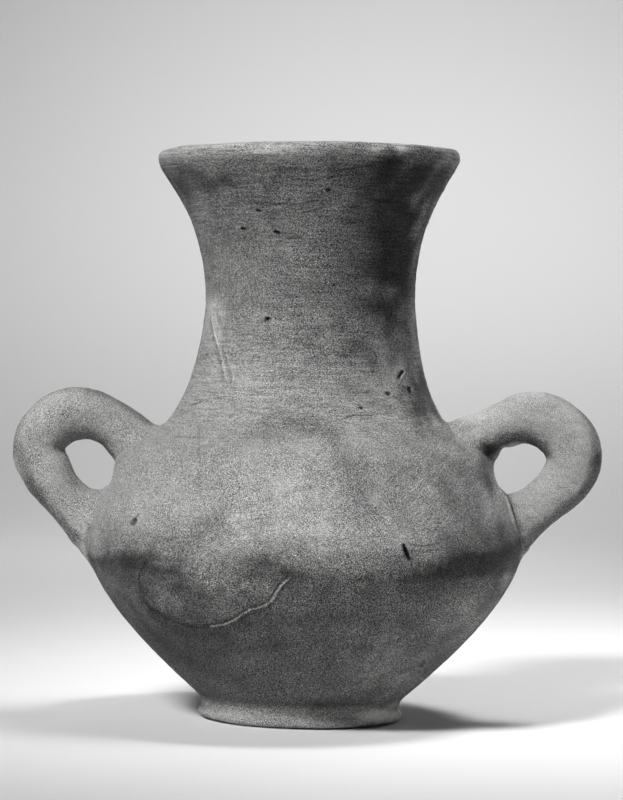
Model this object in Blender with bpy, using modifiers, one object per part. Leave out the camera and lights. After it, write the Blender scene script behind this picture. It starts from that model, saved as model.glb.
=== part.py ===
"""A hand-made fired clay vase with a low foot, a flaring neck and two loop handles.

The foot, body and neck are one turned shell with an open mouth and a hollow inside.
Each handle is a bent clay rod whose two ends are bedded in the wall of the shell.
All of it was fired as one piece, so it is one object. Lengths are metres, +Z is up,
and the origin is the middle of the flat underside.
"""

import math
from collections import namedtuple

import bmesh
import bpy

# Outer side of the shell: radii, and each level's rise above the level before it.
FOOT_RADIUS = 0.0271
FOOT_EDGE_ROUND = 0.0046
FOOT_EDGE_RISE = 0.0014
FOOT_WAIST_INSET = 0.0010
FOOT_WAIST_RISE = 0.0020
LOWER_WALL_OUTSET = 0.0027
LOWER_WALL_RISE = 0.0042
LOWER_WALL_LEAN = math.radians(47.0)
BELLY_RADIUS = 0.0569
BELLY_RISE = 0.0382
SHOULDER_RADIUS = 0.0437
SHOULDER_RISE = 0.0266
SHOULDER_LEAN = math.radians(-68.4)
NECK_RADIUS = 0.0276
NECK_RISE = 0.0379
MOUTH_RADIUS = 0.0386
MOUTH_RISE = 0.0341
MOUTH_LEAN = math.radians(29.0)
LIP_CREST_INSET = 0.0011
LIP_CREST_RISE = 0.0046

# Walls of the hollow.
LIP_THICKNESS = 0.0042
NECK_WALL = 0.0045
BODY_WALL = 0.0055
FLOOR_THICKNESS = 0.0080
FLOOR_FLAT_RADIUS = 0.0165

# The neck was pushed over a little as the wet clay was handled, towards -X.
NECK_BEND = math.radians(1.38)

# Handles: how far the middle of the rod reaches out beyond the slope that carries it, how
# high its crown stands above the belly, its thickness, how far above the belly its two
# roots meet the wall, and the thickness of the lower root, which is pressed out wider.
LEFT_REACH = 0.0202
LEFT_RISE = 0.0327
LEFT_THICKNESS = 0.0142
LEFT_UPPER_ROOT = 0.0256
LEFT_LOWER_ROOT = 0.0052
LEFT_ROOT_THICKNESS = 0.0162
RIGHT_REACH = 0.0204
RIGHT_RISE = 0.0344
RIGHT_THICKNESS = 0.0148
RIGHT_UPPER_ROOT = 0.0272
RIGHT_LOWER_ROOT = 0.0070
RIGHT_ROOT_THICKNESS = 0.0150
ROOT_END_CLEARANCE = 0.0025

# Facets: steps round the turned shapes, and up each stretch of a wall between two levels.
TURN_STEPS = 60
OUTSIDE_STEPS = (3, 3, 3, 8, 7, 6, 7, 4)
INSIDE_STEPS = (3, 5, 5, 4, 4)
LIP_STEPS = 3
CORE_STEPS = (8, 7, 6)
ROD_RESOLUTION = 6
ROD_STEPS = 4
SMOOTH_ANGLE = math.radians(40.0)
MERGE_DISTANCE = 0.000001

# Fired clay, a dull mid grey in the black-and-white view that it is known from.
CLAY_COLOUR = (0.30, 0.285, 0.265, 1.0)
CLAY_ROUGHNESS = 0.9

# One level of the wall. The lean is from the vertical, outwards positive. The fullness
# says how far the curve below or above the level keeps to that lean.
Level = namedtuple("Level", "radius height lean below above")

# One bend of a handle: shares of its reach, its rise and its thickness.
Bend = namedtuple("Bend", "out up thick")

LEFT_BENDS = (
    Bend(0.074, 0.940, 0.87),
    Bend(0.505, 1.000, 1.00),
    Bend(0.832, 0.910, 1.01),
    Bend(1.000, 0.737, 0.96),
    Bend(0.896, 0.547, 0.97),
    Bend(0.546, 0.275, 0.87),
)
RIGHT_BENDS = (
    Bend(0.019, 0.920, 0.82),
    Bend(0.425, 1.000, 0.95),
    Bend(0.838, 0.900, 1.00),
    Bend(1.000, 0.730, 1.02),
    Bend(0.953, 0.584, 0.96),
    Bend(0.547, 0.324, 0.83),
)

BELLY_HEIGHT = FOOT_EDGE_RISE + FOOT_WAIST_RISE + LOWER_WALL_RISE + BELLY_RISE
SHOULDER_HEIGHT = BELLY_HEIGHT + SHOULDER_RISE
NECK_HEIGHT = SHOULDER_HEIGHT + NECK_RISE
MOUTH_HEIGHT = NECK_HEIGHT + MOUTH_RISE
FULL_HEIGHT = MOUTH_HEIGHT + LIP_CREST_RISE
WAIST_RADIUS = FOOT_RADIUS - FOOT_WAIST_INSET
WAIST_HEIGHT = FOOT_EDGE_RISE + FOOT_WAIST_RISE
SLOPE_RADIUS = 0.5 * (BELLY_RADIUS + SHOULDER_RADIUS)

UPRIGHT = 0.0
FLAT = math.radians(90.0)

FOOT_BASE = Level(FOOT_RADIUS - FOOT_EDGE_ROUND, 0.0, FLAT, 0.0, 1.2)
FOOT_EDGE = Level(FOOT_RADIUS, FOOT_EDGE_RISE, UPRIGHT, 0.7, 1.2)
FOOT_WAIST = Level(WAIST_RADIUS, WAIST_HEIGHT, UPRIGHT, 1.2, 1.2)
LOWER_WALL = Level(
    WAIST_RADIUS + LOWER_WALL_OUTSET,
    WAIST_HEIGHT + LOWER_WALL_RISE,
    LOWER_WALL_LEAN,
    1.2,
    0.41,
)
BELLY = Level(BELLY_RADIUS, BELLY_HEIGHT, UPRIGHT, 0.83, 0.30)
SHOULDER = Level(SHOULDER_RADIUS, SHOULDER_HEIGHT, SHOULDER_LEAN, 0.90, 1.12)
NECK = Level(NECK_RADIUS, NECK_HEIGHT, UPRIGHT, 0.41, 1.55)
MOUTH = Level(MOUTH_RADIUS, MOUTH_HEIGHT, MOUTH_LEAN, 0.80, 1.6)
LIP_CREST = Level(MOUTH_RADIUS - LIP_CREST_INSET, FULL_HEIGHT, -FLAT, 1.5, 1.0)


def curve_between(lower, upper, steps):
    """Points of a smooth wall from one level up to the next, without the last one."""
    span = math.hypot(upper.radius - lower.radius, upper.height - lower.height)
    pull_low = lower.above * span
    pull_high = upper.below * span
    points = []
    for step in range(steps):
        t = step / steps
        start = 2 * t**3 - 3 * t**2 + 1
        start_pull = (t**3 - 2 * t**2 + t) * pull_low
        end = 3 * t**2 - 2 * t**3
        end_pull = (t**3 - t**2) * pull_high
        radius = start * lower.radius + end * upper.radius
        radius += start_pull * math.sin(lower.lean) + end_pull * math.sin(upper.lean)
        height = start * lower.height + end * upper.height
        height += start_pull * math.cos(lower.lean) + end_pull * math.cos(upper.lean)
        points.append((radius, height))
    return points


def wall_points(levels, steps):
    """Points up a wall through all its levels, with a number of steps to each stretch."""
    points = []
    for lower, upper, count in zip(levels, levels[1:], steps):
        points += curve_between(lower, upper, count)
    points.append((levels[-1].radius, levels[-1].height))
    return points


def inset(level, thickness):
    """The level moved square to the wall, into the clay, by a thickness."""
    radius = level.radius - thickness * math.cos(level.lean)
    height = level.height + thickness * math.sin(level.lean)
    return level._replace(radius=radius, height=height)


def body_levels(depth_share):
    """The levels of the body, neck and mouth, sunk into the wall by a share of it."""
    return [
        inset(LOWER_WALL, BODY_WALL * depth_share),
        inset(BELLY, BODY_WALL * depth_share),
        inset(SHOULDER, BODY_WALL * depth_share),
        inset(NECK, NECK_WALL * depth_share),
        inset(MOUTH, LIP_THICKNESS * depth_share),
    ]


def shell_profile():
    """The whole section: up the inside from the floor, over the lip, down the outside."""
    floor_edge = Level(FLOOR_FLAT_RADIUS, FLOOR_THICKNESS, FLAT, 0.0, 1.0)
    inner_levels = [floor_edge] + body_levels(1.0)
    inside = wall_points(inner_levels, INSIDE_STEPS)
    inner_mouth = inner_levels[-1]
    lip = inner_mouth._replace(above=1.0)
    crest = LIP_CREST._replace(lean=FLAT, below=1.0)
    over_lip = curve_between(lip, crest, LIP_STEPS)
    outer_levels = [FOOT_BASE, FOOT_EDGE, FOOT_WAIST] + body_levels(0.0) + [LIP_CREST]
    outside = wall_points(outer_levels, OUTSIDE_STEPS)
    outside.reverse()
    return [(0.0, FLOOR_THICKNESS)] + inside[:-1] + over_lip + outside + [(0.0, 0.0)]


def core_profile():
    """The section of a solid whose side runs down the middle of the body's wall."""
    side = wall_points(body_levels(0.5)[:-1], CORE_STEPS)
    side.reverse()
    return [(0.0, side[0][1])] + side + [(0.0, side[-1][1])]


def outer_radius(height):
    """The outer radius of the body at a height between its lower wall and its neck."""
    side = wall_points([LOWER_WALL, BELLY, SHOULDER, NECK], CORE_STEPS)
    for (low_radius, low), (high_radius, high) in zip(side, side[1:]):
        if low <= height <= high:
            share = (height - low) / (high - low)
            return low_radius + share * (high_radius - low_radius)
    return NECK_RADIUS


def new_collection(name):
    collection = bpy.data.collections.new(name)
    bpy.context.scene.collection.children.link(collection)
    return collection


def add_object(name, data, collection):
    obj = bpy.data.objects.new(name, data)
    collection.objects.link(obj)
    return obj


def turned(name, profile, collection):
    """A profile in the XZ plane, turned about the Z axis by a Screw modifier."""
    mesh = bpy.data.meshes.new(name)
    points = [(radius, 0.0, height) for radius, height in profile]
    edges = [(i, i + 1) for i in range(len(points) - 1)]
    mesh.from_pydata(points, edges, [])
    obj = add_object(name, mesh, collection)
    screw = obj.modifiers.new("turn", "SCREW")
    screw.axis = "Z"
    screw.angle = math.radians(360.0)
    screw.steps = TURN_STEPS
    screw.render_steps = TURN_STEPS
    screw.use_merge_vertices = True
    screw.merge_threshold = MERGE_DISTANCE
    screw.use_smooth_shade = True
    return obj


def made_mesh(source, name, collection):
    """The evaluated source as a plain welded mesh object, which takes the source's place."""
    evaluated = source.evaluated_get(bpy.context.evaluated_depsgraph_get())
    mesh = bpy.data.meshes.new_from_object(evaluated)
    shape = bmesh.new()
    shape.from_mesh(mesh)
    bmesh.ops.remove_doubles(shape, verts=shape.verts, dist=MERGE_DISTANCE)
    shape.to_mesh(mesh)
    shape.free()
    obj = add_object(name, mesh, collection)
    obj.matrix_world = source.matrix_world
    bpy.data.objects.remove(source)
    return obj


def bend_neck(mesh):
    """Lean the shell above its shoulder over, more and more towards the mouth."""
    full_rise = FULL_HEIGHT - SHOULDER_HEIGHT
    for vertex in mesh.vertices:
        rise = vertex.co.z - SHOULDER_HEIGHT
        if rise <= 0.0:
            continue
        angle = NECK_BEND * rise / full_rise
        from_axis = vertex.co.x
        vertex.co.x = from_axis * math.cos(angle) - 0.5 * angle * rise
        vertex.co.z = SHOULDER_HEIGHT + rise + from_axis * math.sin(angle)


def root_points(wall_height, next_point):
    """A handle's root on the body's surface, and its end inside the hollow."""
    surface = (outer_radius(wall_height), wall_height)
    inward = (surface[0] - next_point[0], surface[1] - next_point[1])
    length = math.hypot(*inward)
    return surface, (inward[0] / length, inward[1] / length)


def handle(name, side, sizes, bends, collection):
    """A round clay rod bent into a loop, its ends running through the wall."""
    reach, rise, thickness, upper_root, lower_root, root_thickness = sizes
    loop = [(SLOPE_RADIUS + b.out * reach, BELLY_HEIGHT + b.up * rise) for b in bends]
    depth = BODY_WALL + 0.5 * root_thickness + ROOT_END_CLEARANCE
    upper, upper_in = root_points(BELLY_HEIGHT + upper_root, loop[0])
    lower, lower_in = root_points(BELLY_HEIGHT + lower_root, loop[-1])
    upper_end = (upper[0] + depth * upper_in[0], upper[1] + depth * upper_in[1])
    lower_end = (lower[0] + depth * lower_in[0], lower[1] + depth * lower_in[1])
    route = [upper_end, upper] + loop + [lower, lower_end]
    thick = [1.0, 1.0] + [b.thick for b in bends] + [root_thickness / thickness] * 2

    curve = bpy.data.curves.new(name, "CURVE")
    curve.dimensions = "3D"
    curve.resolution_u = ROD_STEPS
    curve.bevel_depth = 0.5 * thickness
    curve.bevel_resolution = ROD_RESOLUTION
    curve.use_fill_caps = True
    spline = curve.splines.new("BEZIER")
    spline.radius_interpolation = "CARDINAL"
    spline.bezier_points.add(len(route) - 1)
    for point, (out, height), share in zip(spline.bezier_points, route, thick):
        point.co = (side * out, 0.0, height)
        point.radius = share
        point.handle_left_type = "AUTO"
        point.handle_right_type = "AUTO"
    return made_mesh(add_object(name + "_route", curve, collection), name, collection)


def boolean(obj, other, operation):
    modifier = obj.modifiers.new(operation.lower() + "_" + other.name, "BOOLEAN")
    modifier.operation = operation
    modifier.solver = "EXACT"
    modifier.object = other


def as_guide(obj):
    obj.hide_render = True
    obj.display_type = "WIRE"


def clay_material():
    material = bpy.data.materials.new("fired_clay")
    material.use_nodes = True
    shader = material.node_tree.nodes["Principled BSDF"]
    shader.inputs["Base Color"].default_value = CLAY_COLOUR
    shader.inputs["Roughness"].default_value = CLAY_ROUGHNESS
    shader.inputs["Metallic"].default_value = 0.0
    return material


def build_vase():
    parts = new_collection("clay_vase")
    guides = new_collection("guides")
    vase = made_mesh(turned("shell_turn", shell_profile(), guides), "vase", parts)
    bend_neck(vase.data)
    vase.data.shade_smooth()
    vase.data.set_sharp_from_angle(angle=SMOOTH_ANGLE)
    vase.data.materials.append(clay_material())

    core = turned("wall_core", core_profile(), guides)
    as_guide(core)
    left_sizes = (
        LEFT_REACH,
        LEFT_RISE,
        LEFT_THICKNESS,
        LEFT_UPPER_ROOT,
        LEFT_LOWER_ROOT,
        LEFT_ROOT_THICKNESS,
    )
    right_sizes = (
        RIGHT_REACH,
        RIGHT_RISE,
        RIGHT_THICKNESS,
        RIGHT_UPPER_ROOT,
        RIGHT_LOWER_ROOT,
        RIGHT_ROOT_THICKNESS,
    )
    left = handle("left_handle", -1.0, left_sizes, LEFT_BENDS, guides)
    right = handle("right_handle", 1.0, right_sizes, RIGHT_BENDS, guides)
    for rod in (left, right):
        boolean(rod, core, "DIFFERENCE")
        as_guide(rod)
        boolean(vase, rod, "UNION")


for leftover in list(bpy.data.objects):
    bpy.data.objects.remove(leftover)
build_vase()
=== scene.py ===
"""The looks of a hand-made fired clay vase: its worked surface, its light and its camera.

Lengths are metres, +Z is up and the front of the vase faces -Y. The skin of the vase is
rebuilt from the solid it replaces, worked over as a potter's hands left it, and the marks
that show from the front are set by their place in the 623 x 800 photograph.
"""

import math
from collections import namedtuple

import bmesh
import bpy
import numpy as np
from mathutils import Matrix, Vector, kdtree, noise


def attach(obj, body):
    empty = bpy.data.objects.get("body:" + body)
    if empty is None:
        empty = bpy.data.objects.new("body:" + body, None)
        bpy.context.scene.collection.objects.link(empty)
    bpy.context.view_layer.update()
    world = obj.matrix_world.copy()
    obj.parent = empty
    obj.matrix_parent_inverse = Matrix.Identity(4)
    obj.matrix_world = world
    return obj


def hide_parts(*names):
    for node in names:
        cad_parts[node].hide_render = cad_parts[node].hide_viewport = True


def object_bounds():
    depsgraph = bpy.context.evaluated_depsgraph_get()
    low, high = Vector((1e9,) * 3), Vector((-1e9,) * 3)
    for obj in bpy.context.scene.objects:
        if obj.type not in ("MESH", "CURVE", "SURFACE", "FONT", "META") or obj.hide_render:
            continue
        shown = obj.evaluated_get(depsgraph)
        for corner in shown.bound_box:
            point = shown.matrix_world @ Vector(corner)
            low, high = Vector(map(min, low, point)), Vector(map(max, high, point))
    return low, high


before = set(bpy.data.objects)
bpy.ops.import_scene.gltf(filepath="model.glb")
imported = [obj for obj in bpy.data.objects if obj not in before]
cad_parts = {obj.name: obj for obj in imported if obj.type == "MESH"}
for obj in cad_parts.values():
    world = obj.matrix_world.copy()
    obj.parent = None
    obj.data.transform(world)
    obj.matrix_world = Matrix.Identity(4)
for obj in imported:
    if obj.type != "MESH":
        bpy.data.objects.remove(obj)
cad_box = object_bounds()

MM = 0.001

# Lengths below this one count as none.
TINY = 1e-6

# The camera, where the photograph was taken from.
PHOTO_WIDTH = 623
PHOTO_HEIGHT = 800
CAMERA_PLACE = Vector((0.0012, -0.7868, 0.0986))
CAMERA_PITCH = math.radians(-1.088)
CAMERA_ROLL = math.radians(1.37)
CAMERA_LENS_MM = 134.55
CAMERA_SENSOR_MM = 36.0

# Light: a soft key high on the left in front, a weak lamp behind on the right, lamps over
# the sheet behind and beside the vase, and a room that is pale only round its horizon. A
# lamp's spread is in degrees and its power in watts.
Lamp = namedtuple("Lamp", "place aim size spread power")
LAMP_AIM = Vector((0.0, 0.0, 0.075))


def round_vase(azimuth, elevation, distance):
    """A place at an angle round the vase: azimuth 0 is in front, 90 on the right."""
    turn = math.radians(azimuth)
    rise = math.radians(elevation)
    flat = math.cos(rise)
    way = Vector((math.sin(turn) * flat, -math.cos(turn) * flat, math.sin(rise)))
    return LAMP_AIM + distance * way


LAMPS = {
    "key": Lamp(round_vase(-36.0, 42.0, 1.6), LAMP_AIM, 0.34, 20.0, 0.50),
    "edge": Lamp(round_vase(150.0, 15.0, 1.4), LAMP_AIM, 0.50, 24.0, 0.12),
    "backdrop": Lamp(Vector((0.06, 0.35, 1.6)), Vector((0.08, 1.35, 0.08)), 0.40, 54.0, 2.36),
    "floor_behind": Lamp(Vector((-0.02, 0.48, 1.6)), Vector((-0.02, 0.50, 0.0)), 0.50, 30.0, 0.70),
    "floor_right": Lamp(Vector((0.46, 0.16, 1.2)), Vector((0.14, 0.04, 0.0)), 0.50, 22.0, 0.46),
}
HORIZON_GREY = 0.24
HORIZON_RISE = (0.14, 0.24)
SKY_GREY = 0.01

# Floor and backdrop: one pale sheet, flat under the vase and swept up behind it.
SHEET_HALF_WIDTH = 3.0
SHEET_FRONT = -6.0
SHEET_BEND_START = 0.7
SHEET_BEND_RADIUS = 1.0
SHEET_TOP = 2.6
SHEET_STEPS = 24
SHEET_GREY = 0.76

# The section is read from the vertices this near to the middle of the front. Height counts
# for more in the search for the first of them, and steps fill in between each two.
SECTION_REACH = 1.2 * MM
HEIGHT_WEIGHT = 10.0
SECTION_STEPS = 14
LEAST_LEAN = 10.0 * TINY
UNBEND_ROUNDS = 4

# The fine skin: the size of its first, even faces, and the most triangles it may keep.
VOXEL = 0.55 * MM
MOST_TRIANGLES = 194000

# What stands this far off the turned section starts to be a handle, or wholly is one.
HANDLE_NEAR = 0.35 * MM
HANDLE_FAR = 0.80 * MM

# The handles are smoothed outside this distance from the middle. Each round pushes them in
# and out again, so that they stay as thick.
HANDLE_ZONE = 32.0 * MM
HANDLE_ROUNDS = 40
HANDLE_PUSHES = (0.5, -0.52)

# Filling of the creases at the handles: how wide, how firmly and in how many rounds.
FILLET_SPREAD = 30
FILLET_FIRMNESS = 6.0
FILLET_ROUNDS = 60

# The photograph's focal length in pixels, and its scale at the vase.
FOCAL_PX = CAMERA_LENS_MM / CAMERA_SENSOR_MM * PHOTO_HEIGHT
PX_PER_MM = FOCAL_PX * MM / abs(CAMERA_PLACE.y)

# Random waves over the clay: how far each swings, its size and the number of its draw.
Wave = namedtuple("Wave", "swing size draw")
DRAW_STEP = 31.7
WAVE_GAIN = 1.6

# Scratches, cracks and pits: the pixels that they run through, the width and depth in mm
# (a negative depth stands up), and how pale they are beside the clay around them.
Mark = namedtuple("Mark", "route width depth tone")

# Broad swells and hollows: their middle in pixels, their spreads and height in mm.
Swell = namedtuple("Swell", "px py across high lift")

# Soft stains and ovals of painted light and shade: their middle and half sizes in pixels, and
# their paleness.
StainAndPaintedLight = namedtuple("StainAndPaintedLight", "px py across high tone")

# Soft strokes of a hand or a cloth, and strokes of painted shade: their pixels, their width in
# mm and their paleness.
Stroke = namedtuple("Stroke", "route width tone")

# Where fine lines were combed into the clay: an oval, and how much upright and slanting.
Comb = namedtuple("Comb", "px py across high upright slant")

# Where fingers pressed the wall inside the handles or drew clay under their feet: pixels,
# spread in mm, push in mm.
Press = namedtuple("Press", "px py reach push_x push_z")

# The edge of the clay that was smeared over the lower left of the belly.
PATCH_CRACK = (
    (289.6, 577.8), (282.2, 583.8), (277.2, 591), (272.6, 599.4), (264, 605.8),
    (250.2, 609.2), (243, 613.4), (235, 619.2), (225, 623.6), (210, 626.2),
)
PATCH_SEAM = (
    (210, 626.2), (196, 627), (180, 622.6), (164, 616.2), (150.4, 607.6),
    (142.6, 597.6), (139.6, 585), (140, 574), (145, 563),
)


def beside(route, right, down):
    """A route moved aside by some pixels."""
    return tuple((px + right, py + down) for px, py in route)


MARK_ROWS = (
    # Pits in the neck and where it meets the shoulder, dark inside with painted shade.
    (((257, 210.2), (260, 210.8)), 0.65, 0.6, 0.24),
    (((242.2, 228.4), (244.4, 228.8)), 0.8, 0.75, 0.2),
    (((275, 231.4), (278.8, 232.6)), 0.8, 0.75, 0.2),
    (((326.6, 189.2), (329.4, 189.6)), 0.7, 0.55, 0.3),
    (((266.2, 318.4), (267.6, 318.8)), 0.9, 0.9, 0.04),
    (((398.2, 377), (401.4, 371.6)), 0.9, 0.65, 0.22),
    (((408.2, 388), (409.4, 391.8)), 0.9, 0.65, 0.22),
    (((385.6, 393), (388.4, 394.2)), 0.9, 0.6, 0.26),
    (((360.2, 407.6), (361.2, 408.2)), 0.7, 0.6, 0.1),
    (((351.8, 398.6), (352.8, 399)), 0.5, 0.3, 0.4),
    (((371.4, 372.2), (373, 372.6)), 0.5, 0.3, 0.45),
    (((375.4, 507.4), (376.2, 508)), 0.5, 0.3, 0.3),
    # The oval pit on the left of the shoulder, and one low on the right, dark inside with
    # painted shade.
    (((133.2, 523.2), (134.6, 520.6)), 1.3, 0.5, 0.32),
    (((134.6, 520.6), (136, 517.6), (138.2, 514.4)), 0.6, 0.35, 0.4),
    (((420.4, 665.6), (424, 660.6)), 0.9, 0.4, 0.5),
    # The open slit, dark inside with painted shade.
    (((403.4, 545), (405.8, 551.4), (408.8, 558.6)), 0.85, 1.0, 0.06),
    (((404.8, 549), (407, 554.4)), 1.25, 0.9, 0.08),
    # Long marks of a tool down the left of the neck.
    (((209.9, 316.3), (211.5, 329.6), (215.7, 344.5), (219, 356)), 0.6, 0.42, 0.58),
    (((219, 356), (221.5, 366), (223.4, 381)), 0.6, 0.34, 0.66),
    (((223, 347.8), (227.3, 362.8), (231.4, 376), (230.6, 382.7)), 0.7, 0.42, 0.58),
    (((212, 308), (220, 326), (226, 350), (234, 372)), 1.6, -0.15, 1.1),
    # Scratches on the shoulder.
    (((177, 436.8), (198, 437.4), (223, 438.2)), 0.45, 0.22, 0.62),
    (((199.5, 420), (198.5, 486), (205, 506), (206.4, 517)), 0.45, 0.2, 0.82),
    (((191, 405.6), (195.4, 403.6), (200.6, 402.4)), 0.5, 0.25, 0.6),
    (((339, 420), (353, 415.4), (372, 415.6)), 0.45, 0.25, 0.6),
    (((340, 421), (357, 425.4), (368, 422)), 0.4, 0.15, 0.8),
    (((398, 537), (408, 537.8), (416, 536)), 0.55, -0.08, 1.2),
    (((410, 544.6), (422, 546.8), (438, 543.6)), 0.6, 0.16, 0.5),
    (((400, 541), (424, 541.4)), 0.45, -0.06, 1.15),
    (((411, 550.6), (426, 552.4), (438, 549.6)), 0.5, 0.12, 0.64),
    (((228, 524), (262, 519), (290, 516.6)), 0.45, 0.12, 0.85),
    (((232, 530.6), (258, 526), (276, 524.6)), 0.4, 0.12, 0.88),
    (((240, 536), (270, 531)), 0.4, 0.12, 0.88),
    # Scratches on the right of the belly.
    (((474.6, 563.4), (480, 569.5), (488.4, 579.2)), 0.45, -0.12, 1.6),
    (((486.4, 581.4), (495.8, 591.7)), 0.45, -0.12, 1.6),
    (((363, 603.6), (367.6, 599.6)), 0.45, -0.12, 1.8),
    (((421, 602.7), (426.8, 599)), 0.45, -0.12, 1.6),
    # Small lines low on the left.
    (((250.7, 623), (241.8, 632)), 0.4, 0.18, 0.65),
    (((250, 675), (255.4, 675.6)), 0.4, 0.2, 0.5),
    (((258.8, 679.5), (265.9, 674)), 0.35, -0.12, 1.3),
    (((206.8, 704.4), (210.4, 700.6)), 0.7, -0.15, 1.6),
    # The edge of the smeared patch: a pale crack on its right with a line of painted shadow
    # beside it, and a dark one on its left.
    (PATCH_CRACK, 0.7, -0.3, 2.0),
    (beside(PATCH_CRACK, -2.0, -1.6), 0.5, 0.22, 0.55),
    (PATCH_SEAM, 0.6, 0.26, 0.5),
    (((145, 562), (156, 556), (166, 549.6), (180, 542)), 0.6, -0.12, 1.25),
    # The pale seam where the right handle's foot was pressed on.
    (((506.5, 497), (510.5, 512), (514.5, 524), (518.6, 536.6)), 0.9, -0.25, 2.0),
    # Waves left by the wiping under the lip.
    (((258, 204.6), (270, 205.4), (286, 203)), 0.5, 0.18, 0.7),
    (((284, 206), (300, 201), (322, 197.6)), 0.45, -0.12, 1.2),
    (((296, 213), (312, 208.6), (326, 203.6)), 0.45, -0.12, 1.2),
    (((312, 181), (326, 177), (352, 174.6)), 0.5, 0.18, 0.7),
    (((330, 172), (352, 168), (376, 164.6)), 0.5, 0.18, 0.7),
    (((284, 242.6), (292, 240.2), (300, 239.8)), 0.5, -0.12, 1.25),
    # Pale scuffs and scratches on the right of the neck.
    (((366, 362), (368.6, 369.6)), 0.9, -0.15, 1.35),
    (((361, 273), (364, 274.4)), 0.5, -0.12, 1.6),
    (((362, 245), (384, 243.2), (402, 244)), 0.4, -0.1, 1.6),
    (((364, 251.6), (382, 250.6), (398, 252)), 0.4, -0.1, 1.5),
    (((360, 258), (380, 257.2), (394, 258.6)), 0.4, -0.1, 1.4),
    # A painted reflection along the right edge of the neck.
    (((413, 190), (409.6, 214), (408, 240)), 0.4, -0.1, 1.5),
)
FRONT_MARKS = [Mark(*row) for row in MARK_ROWS]

# How far round a mark points are looked at, in its widths, and how far beside it faces are
# cut finer, in mm: once, and once more near it.
MARK_REACH = 2.0
MARK_CUTS = (0.8, 0.3)

# Beside a mark, in halves of its width: the rim's middle and spread, the edge of the clay
# without sand, and the edge of the faces that are kept. A rim's height is a share of the depth.
RIM_PLACE = 1.3
RIM_SPREAD = 0.35
RIM_SHARE = 0.2
CALM_EDGE = (0.5, 1.6)
KEPT_EDGE = 1.6

# A mark this deep, in mm, is a pit that its tone fills with painted shade and that has no
# sand in it. The tone of a shallower mark is broken.
DEEP_MARK = 0.5
DEEP_EDGE = (0.8, 1.4)
SHALLOW_EDGE = (0.4, 1.4)
SHALLOW_CALM = 0.25
BREAKS = Wave(0.4, 1.3 * MM, 14)
BREAK_RISE = (-0.5, 0.3)
BROKEN_LEAST = 0.6

# A front mark fades out between these cosines of the angle to the camera.
FACING = (0.02, 0.12)

# The clay that was smeared over the lower left of the belly stands a little proud. Its
# lift, edge and reach are in mm, and it fades in between two rows of pixels.
PATCH_OUTLINE = [*PATCH_CRACK, *PATCH_SEAM[1:], (180, 540), (262, 540)]
PATCH_LIFT = 0.22
PATCH_EDGE = 0.35
PATCH_REACH = 3.0
PATCH_FADE_TOP = 552.0
PATCH_FADE_FOOT = 578.0

SWELLS = (
    Swell(140, 556, 3.2, 3.6, -0.35),
    Swell(258, 561, 5.0, 2.2, -0.35),
    Swell(240, 552, 5.0, 2.0, 0.2),
    Swell(330, 566, 9.0, 2.2, -0.2),
    Swell(465, 560, 3.6, 4.2, -0.35),
    Swell(420, 556, 6.0, 2.0, 0.18),
    Swell(345, 478, 5.0, 6.0, -0.18),
    Swell(300, 450, 8.0, 4.0, 0.15),
    Swell(228, 345, 1.8, 9.0, 0.18),
    Swell(192, 173, 4.0, 2.4, -0.3),
)

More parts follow.
